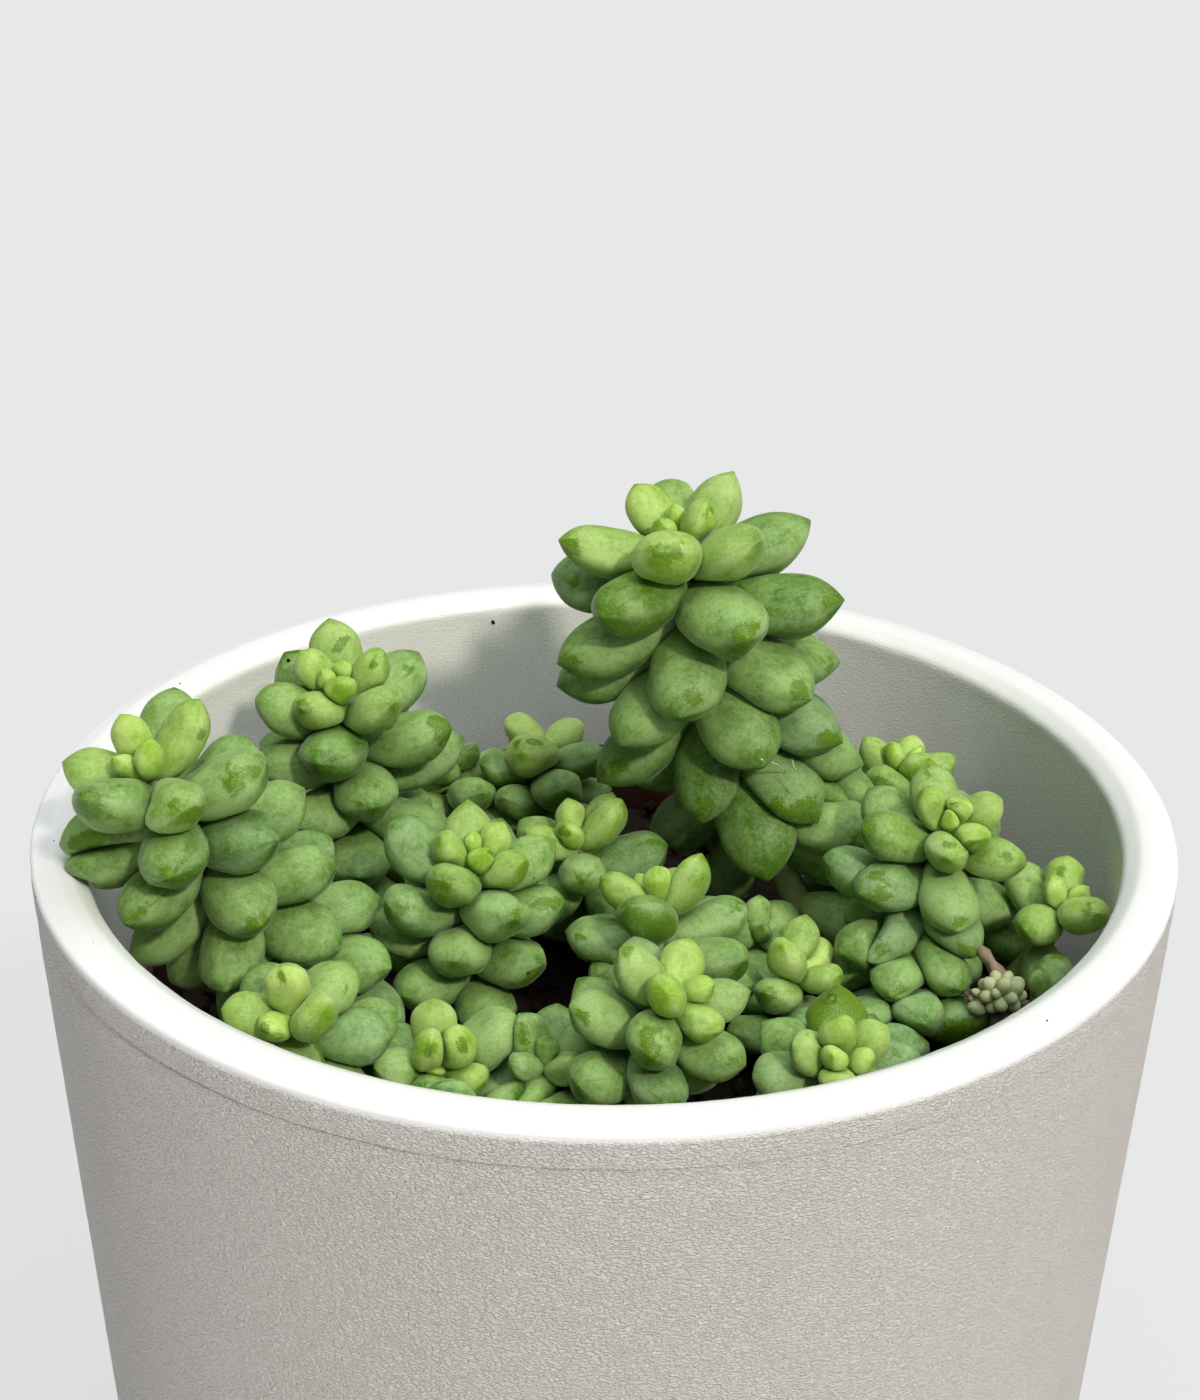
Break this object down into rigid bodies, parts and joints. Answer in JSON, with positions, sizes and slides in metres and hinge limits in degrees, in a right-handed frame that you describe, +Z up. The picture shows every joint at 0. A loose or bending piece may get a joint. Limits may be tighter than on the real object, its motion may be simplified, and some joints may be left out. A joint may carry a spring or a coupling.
{
  "type": "potted burros tail plant",
  "caption": "Succulent with plump pointed leaves on crowded upright and arching stems, in a plastic nursery pot inside a tapered white round planter.",
  "frame": {"origin": "middle of the planter's underside, on the surface that it stands on", "axes": "+Z up along the planter's axis and through the plant; -Y is the front, the side that the picture is taken from"},
  "size_m": [0.17, 0.17, 0.199],
  "materials": {
    "white_glaze": "satin white glazed pottery, smooth lip, fine orange-peel wall",
    "nursery_plastic": "matte red-brown moulded plastic",
    "potting_soil": "rough dark potting mix",
    "waxy_leaf": "soft waxy bloom over fleshy green leaf",
    "dried_leaf": "dull, dried and pale"
  },
  "bodies": {
    "root": {"planter": "white_glaze", "nursery_pot": "nursery_plastic", "soil": "potting_soil", "tall_stem": "waxy_leaf", "left_arching_stem": "waxy_leaf", "back_left_stem": "waxy_leaf", "right_stem": "waxy_leaf", "front_middle_stem": "waxy_leaf", "middle_stem": "waxy_leaf", "left_front_stem": "waxy_leaf", "front_left_stem": "waxy_leaf", "centre_stem": "waxy_leaf", "centre_back_stem": "waxy_leaf", "right_front_stem": "waxy_leaf", "back_right_stem": "waxy_leaf", "far_right_stem": "waxy_leaf", "small_right_stem": "waxy_leaf", "back_middle_stem": "waxy_leaf", "low_front_stem": "waxy_leaf", "low_right_stem": "waxy_leaf", "low_back_stem": "waxy_leaf", "low_middle_stem": "waxy_leaf", "dried_offset": "dried_leaf"}
  },
  "joints": []
}
